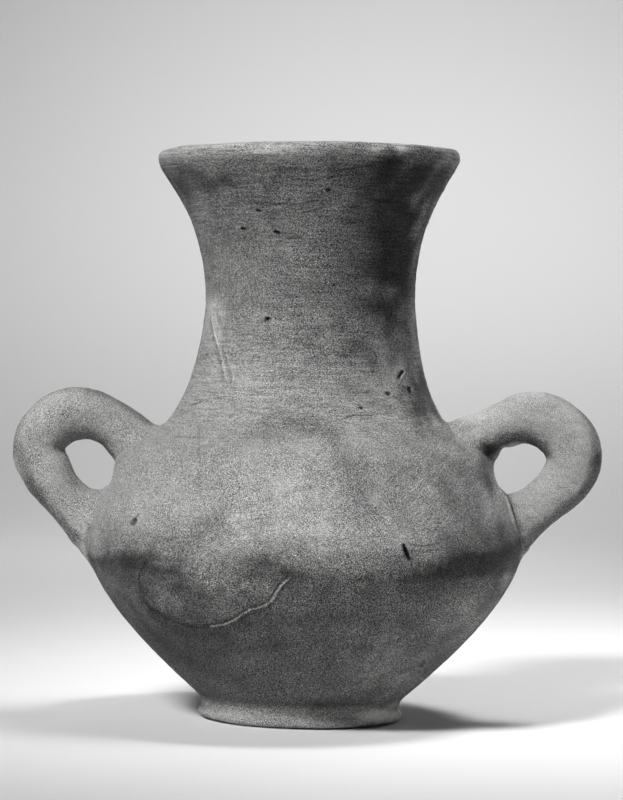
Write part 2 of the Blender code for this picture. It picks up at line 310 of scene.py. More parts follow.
STAIN_AND_PAINTED_LIGHT_ROWS = (
    # The lip, under it, and down the neck.
    # Painted light on the left of the lip and painted shade on its right.
    (288, 149, 50, 6, 1.46),
    (338, 150, 26, 6, 0.7),
    (426, 151, 14, 6, 0.55),
    # A pale spot on the right of the lip.
    (392, 150, 18, 8, 2.6),
    (388, 149, 34, 5.5, 1.6),
    # Painted shade under the lip.
    (198, 184, 38, 16, 0.3),
    (272, 187, 14, 9, 0.6),
    (212, 163, 14, 8, 0.8),
    (350, 176, 28, 22, 0.8),
    (262, 182, 54, 12, 0.82),
    # Painted shade down the right side of the neck, which is turned from the light.
    (418, 178, 54, 36, 0.44),
    (426, 174, 30, 24, 0.5),
    (364, 236, 76, 132, 0.72),
    (384, 240, 50, 130, 0.58),
    (396, 236, 28, 108, 0.34),
    (366, 306, 30, 64, 0.8),
    (416, 366, 16, 34, 0.6),
    # Paler and darker patches down the neck, with painted light along its left edge.
    (226, 206, 26, 52, 0.78),
    (300, 238, 22, 52, 1.22),
    (216, 322, 14, 28, 1.35),
    (240, 322, 16, 22, 0.86),
    (240, 372, 22, 20, 1.1),
    (310, 340, 40, 26, 0.86),
    (356, 350, 26, 28, 0.8),
    (360, 400, 20, 12, 0.86),
    # Painted shade on the right, where the neck meets the shoulder.
    (424, 396, 24, 34, 0.14),
    # The worn and smudged shoulder, with painted shade on its right, where it turns from the
    # light beside the right handle.
    (296, 430, 56, 11, 0.8),
    (350, 448, 20, 20, 0.9),
    (360, 421, 16, 4.5, 1.16),
    (300, 500, 44, 30, 1.12),
    (238, 518, 12, 8, 1.2),
    (206, 526, 20, 15, 0.72),
    (420, 470, 84, 54, 0.76),
    (350, 462, 24, 30, 0.86),
    (450, 430, 24, 16, 0.74),
    (470, 476, 28, 34, 0.66),
    (430, 456, 30, 24, 0.84),
    (392, 492, 18, 16, 0.86),
    (418, 500, 26, 18, 1.16),
    (464, 500, 34, 44, 0.84),
    (494, 532, 22, 13, 0.74),
    # Round the widest part, with painted shade where the wall turns down below it.
    (146, 566, 46, 28, 0.5),
    (90, 542, 14, 12, 1.4),
    (186, 540, 44, 11, 0.64),
    (150, 556, 13, 9, 0.58),
    (270, 556, 15, 18, 1.22),
    (302, 571, 13, 6, 0.56),
    (332, 556, 16, 8, 0.86),
    (512, 572, 16, 12, 1.5),
    (240, 490, 18, 16, 1.2),
    (300, 526, 46, 16, 1.2),
    (296, 482, 30, 28, 1.08),
    (228, 550, 30, 10, 1.14),
    (264, 567, 15, 8, 0.92),
    (390, 556, 22, 8, 0.64),
    (408, 560, 34, 6, 1.14),
    (486, 550, 42, 30, 0.54),
    (428, 580, 50, 22, 0.56),
    (214, 572, 40, 9, 1.2),
    (212, 593, 16, 9, 0.54),
    (200, 600, 62, 22, 0.86),
    # Painted shade along the left edge of the smeared patch and low on the left of the belly.
    (150, 600, 14, 26, 0.72),
    (128, 590, 12, 30, 0.8),
    (140, 562, 10, 10, 0.7),
    (158, 618, 14, 8, 0.6),
    (180, 638, 56, 28, 0.7),
    (196, 672, 30, 30, 0.84),
    # A painted reflection along the lower right edge of the belly.
    (462, 632, 30, 40, 1.5),
    (476, 618, 20, 32, 1.5),
    # Paler and darker patches low on the belly.
    (424, 665, 16, 14, 1.7),
    (290, 628, 90, 22, 0.84),
    (362, 617, 22, 12, 0.8),
    # The foot: painted shadow of the belly across its middle, and painted light on its right and
    # on the belly just above.
    (250, 716, 50, 8, 1.04),
    (318, 712, 20, 8, 0.8),
    (340, 708, 32, 10, 0.58),
    (384, 716, 26, 8, 2.8),
    (406, 692, 28, 18, 2.8),
    # Handles: painted shade under the left loop, on the arch of the right handle and on the wall
    # beside the right loop, and a paler patch on the left handle.
    (70, 440, 30, 12, 0.88),
    (54, 450, 18, 30, 1.32),
    (530, 404, 40, 12, 0.84),
    (487, 464, 11, 26, 0.62),
)
STAINS_AND_PAINTED_LIGHT = [StainAndPaintedLight(*row) for row in STAIN_AND_PAINTED_LIGHT_ROWS]

# Where each stain and oval of painted light and shade starts to fade and where it ends, in its
# half sizes.
STAIN_AND_PAINTED_LIGHT_EDGE = (0.4, 1.3)
STAIN_AND_PAINTED_LIGHT_WAVE = Wave(0.35, 5.0 * MM, 13)

STROKE_ROWS = (
    # A hand's stroke down the shoulder, from the neck towards the right.
    (((266, 416), (326, 432), (347, 470), (369, 513)), 4.6, 0.68),
    (((352, 430), (378, 470), (402, 500)), 3.0, 1.12),
    (((392, 432), (430, 470), (462, 520)), 4.0, 0.88),
    (((226, 424), (196, 460), (170, 500)), 5.0, 1.06),
    # Strokes across the front of the shoulder.
    (((178, 528), (204, 521), (228, 508)), 3.2, 0.84),
    (((243, 507), (266, 500), (312, 499)), 0.8, 0.84),
    (((230, 514), (246, 520), (262, 530), (276, 543)), 4.4, 1.14),
    (((228, 511), (231, 521), (240, 531), (252, 540)), 2.4, 1.24),
    (((232, 512), (246, 512), (262, 515)), 1.2, 1.16),
    (((226, 508), (220, 514), (222, 526), (232, 536)), 1.0, 0.8),
    (((284, 528), (310, 524), (332, 527)), 1.2, 1.18),
    (((350, 530), (372, 527), (388, 530)), 1.0, 1.18),
    (((326, 526), (334, 530), (340, 533)), 2.0, 1.22),
    (((200, 500), (214, 478), (232, 462)), 2.4, 1.1),
    (((262, 452), (290, 446), (318, 456), (334, 482)), 2.0, 1.1),
    (((240, 514), (276, 508), (320, 512)), 2.2, 1.1),
    (((262, 536), (298, 530), (336, 531)), 2.0, 1.12),
    (((192, 540), (206, 530), (222, 518)), 3.4, 0.84),
    (((300, 546), (332, 550), (366, 546)), 1.8, 1.12),
    (((158, 556), (191, 543), (212, 537)), 1.4, 1.2),
    # Painted shade under the loops of the handles and along their outer sides.
    (((58, 446), (72, 438), (88, 436), (104, 441), (113, 452)), 3.0, 0.6),
    (((64, 450), (73, 442), (87, 439), (102, 443), (114, 456)), 1.1, 0.45),
    (((17, 446), (22, 462), (31, 484), (42, 500)), 2.6, 0.62),
    (((30, 484), (48, 507), (64, 525), (77, 539)), 3.0, 0.34),
    (((150, 424), (120, 402), (98, 391), (75, 387), (50, 392)), 1.6, 0.72),
    (((50, 392), (28, 407), (15, 432), (13, 455)), 1.6, 0.72),
    (((488, 452), (500, 441), (516, 436), (531, 440), (545, 452)), 3.6, 0.34),
    (((494, 452), (502, 444), (516, 440), (532, 443), (545, 455)), 1.1, 0.5),
    (((489, 450), (487, 470), (492, 486)), 3.0, 0.5),
    (((548, 393), (568, 400), (584, 411), (594, 428)), 2.0, 0.74),
    (((584, 410), (597, 440), (600, 462)), 2.8, 0.58),
    (((600, 458), (592, 484), (574, 504), (552, 521), (529, 544)), 4.0, 0.34),
    # The ragged dark line of painted shade along the lower edge of the pale wash.
    (((236, 568), (250, 560), (266, 557), (279, 563), (292, 572)), 1.9, 0.55),
    (((292, 571), (317, 577), (358, 576), (407, 572), (430, 566)), 1.8, 0.6),
    (((430, 567), (446, 559), (456, 553), (466, 554), (476, 568)), 3.4, 0.58),
    (((240, 576), (252, 569), (266, 572), (282, 578)), 2.2, 1.35),
    # Painted shadow under the rim of the smeared patch and along its left.
    (((150, 616), (180, 631), (215, 634), (250, 622)), 3.4, 0.74),
)
STROKES = [Stroke(*row) for row in STROKE_ROWS]

# Where a stroke starts to fade and where it ends, in halves of its width.
PALE_STROKE_EDGE = (0.6, 1.05)
DARK_STROKE_EDGE = (0.3, 1.4)
STROKE_WAVES = (Wave(0.3, 2.4 * MM, 16), Wave(0.15, 0.9 * MM, 20))

COMBS = (
    # Upright lines on the neck.
    Comb(238, 275, 34, 62, 1.0, 0.0),
    Comb(392, 350, 16, 44, 1.2, 0.0),
    # Slanting lines on the shoulder and the belly.
    Comb(450, 480, 60, 56, 0.2, 1.2),
    Comb(340, 446, 28, 30, 0.0, 1.0),
    Comb(300, 660, 160, 56, 0.4, 0.8),
    Comb(210, 470, 40, 50, 0.5, 0.0),
)
COMB_EDGE = (0.5, 1.3)
COMB_WAVE = Wave(0.3, 7.0 * MM, 17)

PRESSES = (
    Press(107, 478, 2.5, 2.3, 0.0),
    Press(112, 490, 1.8, 0.0, 0.7),
    Press(502, 479, 2.5, -2.3, 0.0),
    Press(492, 459, 1.6, 0.9, 0.3),
    Press(502, 451, 1.8, 0.0, 1.1),
    Press(87, 558, 2.2, -1.3, 0.0),
    Press(519.5, 560, 2.0, 0.3, 0.0),
    Press(521.5, 551, 1.8, 1.3, 0.0),
)

# How far a press reaches from front to back, in mm.
PRESS_BREADTH = 10.0

# The lower edge of the pale wash and of the painted shade below it in the photograph, the row
# where it lies elsewhere, the band of heights that moves with it, and its raggedness in pixels.
WASH_AND_SHADE_EDGE = (
    (60, 566), (100, 563), (120, 557), (134, 558), (160, 567),
    (200, 575), (226, 575), (238, 569), (250, 560), (266, 557),
    (279, 562), (292, 567), (318, 573), (358, 572), (407, 568),
    (428, 562), (444, 556), (454, 550), (480, 546), (520, 541),
)
WASH_AND_SHADE_ROW = 574.0
WASH_AND_SHADE_BAND = ((0.028, 0.037), (0.048, 0.066))
WASH_AND_SHADE_WAVE = Wave(2.0, 2.0 * MM, 19)

# Waves that move the bands of paleness up and down: less near the lip and on the front,
# and not at all at the foot.
SHIFT_WAVES = (
    Wave(2.2 * MM, 14.0 * MM, 11),
    Wave(1.2 * MM, 4.0 * MM, 12),
    Wave(0.6 * MM, 1.5 * MM, 15),
)
STEADY_LIP = 0.75
STEADY_LIP_RISE = (0.118, 0.136)
STEADY_FRONT = 0.7
STEADY_FOOT_RISE = (0.008, 0.020)

# Paleness, coarseness and wiping by height up the vase: (height, value) stops.
# The tone drops below the widest part, partly as the clay's own darker tone and partly as painted
# shade where the lower wall turns down from the light.
TONE_BY_HEIGHT = (
    (0.0040, 0.34),
    (0.0068, 0.064),
    (0.026, 0.048),
    (0.0396, 0.036),
    (0.0410, 0.140),
    (0.0455, 0.240),
    (0.0490, 0.345),
    (0.057, 0.365),
    (0.066, 0.35),
    (0.088, 0.35),
    (0.100, 0.265),
    (0.110, 0.188),
    (0.136, 0.168),
    (0.1425, 0.140),
    (0.1445, 0.20),
    (0.1465, 0.37),
)
GRIT_BY_HEIGHT = (
    (0.006, 0.90),
    (0.008, 1.40),
    (0.020, 1.50),
    (0.030, 2.10),
    (0.0396, 2.80),
    (0.0415, 1.20),
    (0.050, 1.05),
    (0.058, 1.00),
    (0.100, 0.90),
    (0.112, 0.80),
    (0.128, 0.86),
    (0.140, 1.15),
    (0.1465, 0.90),
)
WIPE_BY_HEIGHT = (
    (0.050, 0.15),
    (0.072, 0.30),
    (0.084, 1.00),
    (0.096, 1.00),
    (0.108, 0.80),
    (0.120, 0.85),
    (0.136, 1.20),
)

# Paleness and coarseness inside, and on the handles. Sand shows less on both handles.
INSIDE_TONE = 0.22
INSIDE_GRIT = 0.6
LEFT_HANDLE_TONE = 0.40
RIGHT_HANDLE_TONE = 0.37
LEFT_HANDLE_CALM = 0.15
RIGHT_HANDLE_CALM = 0.55
GRIT_WAVE = Wave(0.35, 6.0 * MM, 18)

# Below these tones, as in the painted shade under the widest part, sand and wiping weaken,
# down to a least share. Wiping also gives way to upright lines.
DARK_TONE = 0.11
DIM_TONE = 0.15
COMB_OVER_WIPE = 0.8
LEAST_SHARE = 0.2

# The noises of the material: their stretch, if any, size, detail, roughness and twist.
Grain = namedtuple("Grain", "stretch size detail roughness twist")
CLOUD = Grain((1.0, 1.0, 2.0), 11.0 * MM, 4.0, 0.6, 0.0)
FLECK = Grain((1.0, 1.0, 1.7), 2.6 * MM, 2.0, 0.5, 0.0)
SAND = Grain(None, 0.15 * MM, 0.0, 0.6, 0.0)
STREAK = Grain((1.0, 1.0, 17.0), 8.0 * MM, 2.0, 0.6, 0.5)
UPRIGHT = Grain((16.0, 16.0, 1.0), 8.0 * MM, 2.0, 0.6, 0.0)
SLANTING = Grain((1.0, 1.0, 14.0), 6.0 * MM, 2.0, 0.6, 0.0)
GRAIN_GAIN = 4.0
COMB_SLANT = math.radians(50.0)

# The material's colour and gloss, and how far its noises swing them.
CLAY_TINT = (1.006, 1.0, 0.985)
CLAY_ROUGHNESS = 0.78
CLAY_SPECULAR = 0.16
ROUGHNESS_SWING = 0.04
CLOUD_SWING = 0.15
FLECK_SWING = 0.11
SAND_SWING = 0.60
STREAK_SWING = 0.15
COMB_SWING = 0.15 / RIGHT_HANDLE_TONE
DARKEST = 0.008

# The heights, in mm, that the noises seem to have.
SAND_HEIGHT = 0.075
STREAK_HEIGHT = 0.060
COMB_HEIGHT = 0.080
FLECK_HEIGHT = 0.085

# The unevenness that hands left, in mm. Lumps are higher on the shoulder's slope and on the
# handles, wiped lines on the neck and inside.
BROAD_WAVE = Wave(0.16, 30.0 * MM, 1)
MIDDLE_WAVE = Wave(0.09, 12.0 * MM, 2)
LUMPS = Wave(0.03, 5.0 * MM, 3)
SLOPE_LUMPS = 0.06
HANDLE_LUMPS = 0.05
SLUMPS = Wave(0.10, (16.0 * MM, 16.0 * MM, 5.0 * MM), 4)
WIPED_LINES = Wave(0.015, (15.0 * MM, 15.0 * MM, 1.3 * MM), 5)
NECK_LINES = 0.045
INSIDE_LINES = 0.09
FINE_WAVE = Wave(0.035, 1.8 * MM, 6)
NECK_RISE = (0.078, 0.100)
SLOPE_BAND = ((0.036, 0.052), (0.066, 0.080))

# How far the worked wall is set back, in mm, to stay in its place.
HAND_SINK = 0.02

# How far the wall sways to the right and stands out, in mm, by height: (height, value) stops.
SWAY_BY_HEIGHT = (
    (0.060, 0.10),
    (0.085, 0.42),
    (0.103, 0.56),
    (0.118, 0.34),
    (0.130, 0.14),
    (0.143, -0.28),
    (0.149, -0.05),
)
OUT_BY_HEIGHT = (
    (0.005, 0.0),
    (0.012, 0.24),
    (0.038, 0.24),
    (0.050, 0.0),
    (0.110, 0.0),
    (0.122, 0.16),
    (0.146, 0.10),
)


# Small tools


def soft_step(low, high, values):
    """0 below low, 1 above high, and a smooth rise between them."""
    share = np.clip((values - low) / (high - low), 0.0, 1.0)
    return share * share * (3.0 - 2.0 * share)


def within(band, heights):
    """1 inside a band, 0 outside it, and a smooth change over the two stretches at its ends."""
    foot, top = band
    return soft_step(*foot, heights) * (1.0 - soft_step(*top, heights))


def along(values, stops):
    """A smooth run of values through (place, value) stops."""
    total = np.full(len(values), stops[0][1], float)
    for (low, before), (high, after) in zip(stops, stops[1:]):
        total += (after - before) * soft_step(low, high, values)
    return total


def ripple(points, wave):
    """Smooth random values, about -1 to 1, which vary over a wave's size (one or three)."""
    places = points / np.asarray(wave.size) + DRAW_STEP * wave.draw
    return WAVE_GAIN * np.array([noise.noise(place) for place in places.tolist()])


def swing(points, wave):
    """A wave at points, as far as it swings."""
    return wave.swing * ripple(points, wave)


def rows_of(items, name, width, kind):
    """What each item holds under a name, as one row of an array."""
    flat = np.empty(width * len(items), kind)
    items.foreach_get(name, flat)
    return flat.reshape(-1, width)


def points_of(mesh):
    return rows_of(mesh.vertices, "co", 3, np.float32).astype(float)


def normals_of(mesh):
    return rows_of(mesh.vertex_normals, "vector", 3, np.float32).astype(float)


def edges_of(mesh):
    return rows_of(mesh.edges, "vertices", 2, np.int32)


def set_points(mesh, points):
    mesh.vertices.foreach_set("co", points.astype(np.float32).ravel())
    mesh.update()


def link(obj):
    bpy.context.scene.collection.objects.link(obj)
    return obj


# Camera


def camera_turn():
    tilt = Matrix.Rotation(math.radians(90.0) + CAMERA_PITCH, 4, "X")
    return tilt @ Matrix.Rotation(CAMERA_ROLL, 4, "Z")


def add_camera():
    camera = bpy.data.cameras.new("camera")
    camera.sensor_width = CAMERA_SENSOR_MM
    camera.lens = CAMERA_LENS_MM
    obj = link(bpy.data.objects.new("camera", camera))
    obj.matrix_world = Matrix.Translation(CAMERA_PLACE) @ camera_turn()
    bpy.context.scene.camera = obj


# Light and floor


def add_lamp(name, lamp):
    light = bpy.data.lights.new(name, "AREA")
    light.shape = "DISK"
    light.size = lamp.size
    light.spread = math.radians(lamp.spread)
    light.energy = lamp.power
    obj = link(bpy.data.objects.new(name, light))
    obj.location = lamp.place
    obj.rotation_euler = (lamp.place - lamp.aim).to_track_quat("Z", "Y").to_euler()


def add_room():
    """A world that is pale round the horizon and dim above it."""
    world = bpy.data.worlds.new("pale_room")
    world.use_nodes = True
    nodes = Nodes(world.node_tree)
    sky = world.node_tree.nodes["Background"]
    way = nodes.add("ShaderNodeTexCoord").outputs["Generated"]
    rise = nodes.add("ShaderNodeSeparateXYZ")
    nodes.feed(rise.inputs["Vector"], way)
    fade = nodes.add("ShaderNodeMapRange", interpolation_type="SMOOTHSTEP")
    nodes.feed(fade.inputs["Value"], rise.outputs["Z"])
    fade.inputs["From Min"].default_value = HORIZON_RISE[0]
    fade.inputs["From Max"].default_value = HORIZON_RISE[1]
    fade.inputs["To Min"].default_value = HORIZON_GREY
    fade.inputs["To Max"].default_value = SKY_GREY
    nodes.feed(sky.inputs["Color"], fade.outputs["Result"])
    bpy.context.scene.world = world
    bpy.context.scene.view_settings.view_transform = "Standard"


def add_light():
    for name, lamp in LAMPS.items():
        add_lamp(name, lamp)
    add_room()


def sheet_line():
    """The backdrop's section: (y, z) along the floor, round the bend and up."""
    line = [(SHEET_FRONT, 0.0), (SHEET_BEND_START, 0.0)]
    for step in range(1, SHEET_STEPS + 1):
        angle = 0.5 * math.pi * step / SHEET_STEPS
        y = SHEET_BEND_START + SHEET_BEND_RADIUS * math.sin(angle)
        line.append((y, SHEET_BEND_RADIUS * (1.0 - math.cos(angle))))
    line.append((SHEET_BEND_START + SHEET_BEND_RADIUS, SHEET_TOP))
    return line


def add_floor():
    line = sheet_line()
    corners = []
    for x in (-SHEET_HALF_WIDTH, SHEET_HALF_WIDTH):
        corners += [(x, y, z) for y, z in line]
    count = len(line)
    faces = [(i, i + count, i + 1 + count, i + 1) for i in range(count - 1)]
    mesh = bpy.data.meshes.new("floor")
    mesh.from_pydata(corners, [], faces)
    mesh.shade_smooth()
    material = bpy.data.materials.new("pale_floor")
    material.use_nodes = True
    shader = material.node_tree.nodes["Principled BSDF"]
    shader.inputs["Base Color"].default_value = (SHEET_GREY, SHEET_GREY, SHEET_GREY, 1)
    shader.inputs["Roughness"].default_value = 1.0
    shader.inputs["Specular IOR Level"].default_value = 0.0
    mesh.materials.append(material)
    link(bpy.data.objects.new("floor", mesh))


# The section that the vase was turned to, read back from its solid


Section = namedtuple("Section", "line bend_start bend")


def welded(mesh):
    shape = bmesh.new()
    shape.from_mesh(mesh)
    bmesh.ops.remove_doubles(shape, verts=shape.verts, dist=TINY)
    return shape


def section_walk(shape):
    """The vertices that face -Y, from the underside's middle over the lip to the floor's."""
    wanted = {v for v in shape.verts if abs(v.co.x) < SECTION_REACH and v.co.y < TINY}
    walk = [min(wanted, key=lambda v: abs(v.co.y) + HEIGHT_WEIGHT * v.co.z)]
    while True:
        wanted.discard(walk[-1])
        here = walk[-1].co
        ways = [edge.other_vert(walk[-1]) for edge in walk[-1].link_edges]
        ways = [v for v in ways if v in wanted]
        if not ways:
            return [v.co.copy() for v in walk]
        walk.append(min(ways, key=lambda v: (v.co - here).length))


def smooth_line(points):
    """A curve through all the points, with some steps between each two."""
    points = np.asarray(points)
    gaps = np.linalg.norm(np.diff(points, axis=0), axis=1)
    runs = np.concatenate([[0.0], np.cumsum(gaps)])
    slopes = np.empty_like(points)
    slopes[1:-1] = (points[2:] - points[:-2]) / (runs[2:] - runs[:-2])[:, None]
    slopes[0] = (points[1] - points[0]) / gaps[0]
    slopes[-1] = (points[-1] - points[-2]) / gaps[-1]
    line = []
    for i, gap in enumerate(gaps):
        t = np.arange(SECTION_STEPS)[:, None] / SECTION_STEPS
        start = (2 * t**3 - 3 * t**2 + 1) * points[i]
        start = start + (t**3 - 2 * t**2 + t) * gap * slopes[i]
        end = (3 * t**2 - 2 * t**3) * points[i + 1]
        end = end + (t**3 - t**2) * gap * slopes[i + 1]
        line.append(start + end)
    return np.concatenate(line + [points[-1:]])


def read_section(mesh):
    """The turned section as a smooth line, and where and how strongly the neck bends."""
    shape = welded(mesh)
    walk = section_walk(shape)
    shape.free()
    line = smooth_line([(-p.y, p.z) for p in walk])
    leaning = [p for p in walk if p.x < -LEAST_LEAN]
    heights = np.array([p.z for p in leaning])
    roots = np.sqrt([-p.x for p in leaning])
    slope, offset = np.polyfit(heights, roots, 1)
    return Section(line, -offset / slope, 2.0 * slope * slope)


def unbent(points, section):
    """The points as they were before the neck was pushed over."""
    x = points[:, 0].copy()
    rise = np.maximum(points[:, 2] - section.bend_start, 0.0)
    for _ in range(UNBEND_ROUNDS):
        angle = section.bend * rise
        x = (points[:, 0] + 0.5 * angle * rise) / np.cos(angle)
        rise = np.maximum(points[:, 2] - section.bend_start - x * np.sin(angle), 0.0)
    z = np.where(rise > 0.0, section.bend_start + rise, points[:, 2])
    return np.stack([x, points[:, 1], z], axis=1)


def bent(points, section):
    """The points pushed over as the neck was."""
    rise = np.maximum(points[:, 2] - section.bend_start, 0.0)
    angle = section.bend * rise
    x = points[:, 0] * np.cos(angle) - 0.5 * angle * rise
    z = points[:, 2] + points[:, 0] * np.sin(angle)
    return np.stack([x, points[:, 1], z], axis=1)


def nearest_on_line(radius, height, line):
    """For each point, the nearest point of the section, its distance and its index."""
    tree = kdtree.KDTree(len(line))
    for i, (r, z) in enumerate(line):
        tree.insert((r, z, 0.0), i)
    tree.balance()
    places = zip(radius.tolist(), height.tolist())
    found = np.array([tree.find((r, z, 0.0))[1] for r, z in places])
    here = np.stack([radius, height], axis=1)
    best = line[found]
    best_gap = np.linalg.norm(here - best, axis=1)
    for other in (np.maximum(found - 1, 0), np.minimum(found + 1, len(line) - 1)):
        way = line[other] - line[found]
        length = np.maximum((way * way).sum(axis=1), TINY * TINY)
        share = np.clip(((here - line[found]) * way).sum(axis=1) / length, 0.0, 1.0)
        spot = line[found] + share[:, None] * way
        gap = np.linalg.norm(here - spot, axis=1)
        closer = gap < best_gap
        best = np.where(closer[:, None], spot, best)
        best_gap = np.where(closer, gap, best_gap)
    return best, best_gap, found


# The fine skin


def apply_modifiers(obj):
    evaluated = obj.evaluated_get(bpy.context.evaluated_depsgraph_get())
    fine = bpy.data.meshes.new_from_object(evaluated)
    obj.modifiers.clear()
    old = obj.data
    obj.data = fine
    bpy.data.meshes.remove(old)


def remeshed(node):
    """A new mesh object with the solid's shape, in small even faces."""
    shape = welded(node.data)
    mesh = bpy.data.meshes.new("vase_skin")
    shape.to_mesh(mesh)
    shape.free()
    obj = link(bpy.data.objects.new("vase_skin", mesh))
    modifier = obj.modifiers.new("fine_faces", "REMESH")
    modifier.mode = "VOXEL"
    modifier.voxel_size = VOXEL
    apply_modifiers(obj)
    return obj


def neighbour_means(edges, values):
    """The mean of each vertex's neighbours."""
    count = len(values)
    sums = np.zeros_like(values)
    for a, b in ((0, 1), (1, 0)):
        for axis in range(values.shape[1]):
            sums[:, axis] += np.bincount(edges[:, a], values[edges[:, b], axis], count)
    links = np.bincount(edges.ravel(), minlength=count)
    return sums / np.maximum(links, 1)[:, None]


def section_fit(points, section):
    """The points laid on the section, how far each is a handle's, and which are outside."""
    flat = unbent(points, section)
    radius = np.hypot(flat[:, 0], flat[:, 1])
    best, gap, place = nearest_on_line(radius, flat[:, 2], section.line)
    turn = np.maximum(radius, TINY)
    x = flat[:, 0] / turn * best[:, 0]
    y = flat[:, 1] / turn * best[:, 0]
    laid = bent(np.stack([x, y, best[:, 1]], axis=1), section)
    outer = place < np.argmax(section.line[:, 1])
    return laid, soft_step(HANDLE_NEAR, HANDLE_FAR, gap), outer


def snap_to_section(mesh, section):
    """Lay the turned surfaces on the smooth section. Returns how far each is a handle."""
    points = points_of(mesh)
    laid, share, _ = section_fit(points, section)
    set_points(mesh, laid + share[:, None] * (points - laid))
    return share


def round_handles(mesh, share):
    """Smooth the handles' facets away, and fill the creases where they meet the wall."""
    points = points_of(mesh)
    edges = edges_of(mesh)
    zone = np.abs(points[:, 0]) > HANDLE_ZONE
    renumber = np.cumsum(zone) - 1
    edges = renumber[edges[zone[edges].all(axis=1)]]
    spots = points[zone]
    weight = share[zone][:, None]
    for _ in range(HANDLE_ROUNDS):
        for push in HANDLE_PUSHES:
            spots = spots + push * weight * (neighbour_means(edges, spots) - spots)
    near = weight.copy()
    for _ in range(FILLET_SPREAD):
        near = 0.5 * near + 0.5 * neighbour_means(edges, near)
    band = np.clip(FILLET_FIRMNESS * near * (1.0 - near), 0.0, 1.0)
    normals = normals_of(mesh)[zone]
    for _ in range(FILLET_ROUNDS):
        lift = ((neighbour_means(edges, spots) - spots) * normals).sum(axis=1)
        spots = spots + band * np.maximum(lift, 0.0)[:, None] * normals
    points[zone] = spots
    set_points(mesh, points)


# Marks that show from the front, set by their places in the photograph


def photo_places(points):
    """Where points stand in the photograph, in its pixels."""
    seen = (points - np.array(CAMERA_PLACE)) @ np.array(camera_turn().to_3x3())
    px = 0.5 * PHOTO_WIDTH - FOCAL_PX * seen[:, 0] / seen[:, 2]
    py = 0.5 * PHOTO_HEIGHT + FOCAL_PX * seen[:, 1] / seen[:, 2]
    return np.stack([px, py], axis=1)


def under_pixel(px, py):
    """The point of the plane through the vase's axis that shows at a pixel."""
    across = (px - 0.5 * PHOTO_WIDTH) / FOCAL_PX
    up = (0.5 * PHOTO_HEIGHT - py) / FOCAL_PX
    way = camera_turn().to_3x3() @ Vector((across, up, -1.0))
    return np.array(CAMERA_PLACE - way * (CAMERA_PLACE.y / way.y))


def faces_camera(points, normals):
    """1 where a surface faces the camera on the front of the vase, falling to 0 aside."""
    way = np.array(CAMERA_PLACE) - points
    way /= np.linalg.norm(way, axis=1)[:, None]
    return soft_step(*FACING, (way * normals).sum(axis=1)) * (points[:, 1] < 0.0)


# What is known of the skin's vertices: where they are and face, how far they are a handle's,
# whether they are outside, where the photograph shows them and how far they are its front.
Verts = namedtuple("Verts", "points normals share outer places front")


def read_verts(mesh, section):
    points = points_of(mesh)
    normals = normals_of(mesh)
    _, share, outer = section_fit(points, section)
    front = faces_camera(points, normals)
    return Verts(points, normals, share, outer, photo_places(points), front)


def route_gap(places, route):
    """How far places are from a route of straight runs, in mm at the vase."""
    gap = np.full(len(places), np.inf)
    for start, end in zip(np.array(route[:-1], float), np.array(route[1:], float)):
        way = end - start
        share = np.clip((places - start) @ way / (way @ way), 0.0, 1.0)
        gap = np.minimum(gap, np.linalg.norm(places - start - share[:, None] * way, axis=1))
    return gap / PX_PER_MM


def near_box(places, route, reach):
    """The indices of the places that lie within a reach, in mm, of a route's box."""
    route = np.array(route, float)
    low = route.min(axis=0) - reach * PX_PER_MM
    high = route.max(axis=0) + reach * PX_PER_MM
    return np.flatnonzero(((places > low) & (places < high)).all(axis=1))


def mark_gap(places, mark):
    """The vertices near a mark, and how far they are from its middle, in half widths."""
    near = near_box(places, mark.route, MARK_REACH * mark.width)
    return near, route_gap(places[near], mark.route) / (0.5 * mark.width)


def inside(places, outline):
    """True for the places inside a closed outline."""
    found = np.zeros(len(places), bool)
    px, py = places[:, 0], places[:, 1]
    for (ax, ay), (bx, by) in zip(outline, outline[1:] + outline[:1]):
        if ay == by:
            continue
        crosses = (ay > py) != (by > py)
        found ^= crosses & (px < ax + (py - ay) * (bx - ax) / (by - ay))
    return found


def patch_share(places):
    """How far places lie on the clay that was smeared over the lower left of the belly."""
    near = near_box(places, PATCH_OUTLINE, PATCH_REACH)
    gap = route_gap(places[near], PATCH_OUTLINE + PATCH_OUTLINE[:1])
    gap = np.where(inside(places[near], PATCH_OUTLINE), gap, -gap)
    share = np.zeros(len(places))
    share[near] = soft_step(-PATCH_EDGE, PATCH_EDGE, gap)
    return share * soft_step(PATCH_FADE_TOP, PATCH_FADE_FOOT, places[:, 1])


def mark_lift(places):
    """The height of the front marks, in mm."""
    lift = PATCH_LIFT * patch_share(places)
    for mark in FRONT_MARKS:
        near, gap = mark_gap(places, mark)
        lift[near] -= mark.depth * (1.0 - soft_step(0.0, 1.0, gap))
        rim = np.exp(-(((gap - RIM_PLACE) / RIM_SPREAD) ** 2))
        lift[near] += RIM_SHARE * mark.depth * rim
    for swell in SWELLS:
        off = (places - np.array((swell.px, swell.py))) / PX_PER_MM
        gap = np.hypot(off[:, 0] / swell.across, off[:, 1] / swell.high)
        lift += swell.lift * np.exp(-gap * gap)
    return lift


def pressed(points):
    """The points moved as the fingers inside the handles pressed them."""
    moved = points.copy()
    for press in PRESSES:
        off = (points - under_pixel(press.px, press.py)) / MM
        spread = np.array((press.reach, PRESS_BREADTH, press.reach))
        share = np.exp(-((off / spread) ** 2).sum(axis=1))
        moved += MM * share[:, None] * np.array((press.push_x, 0.0, press.push_z))
    return moved


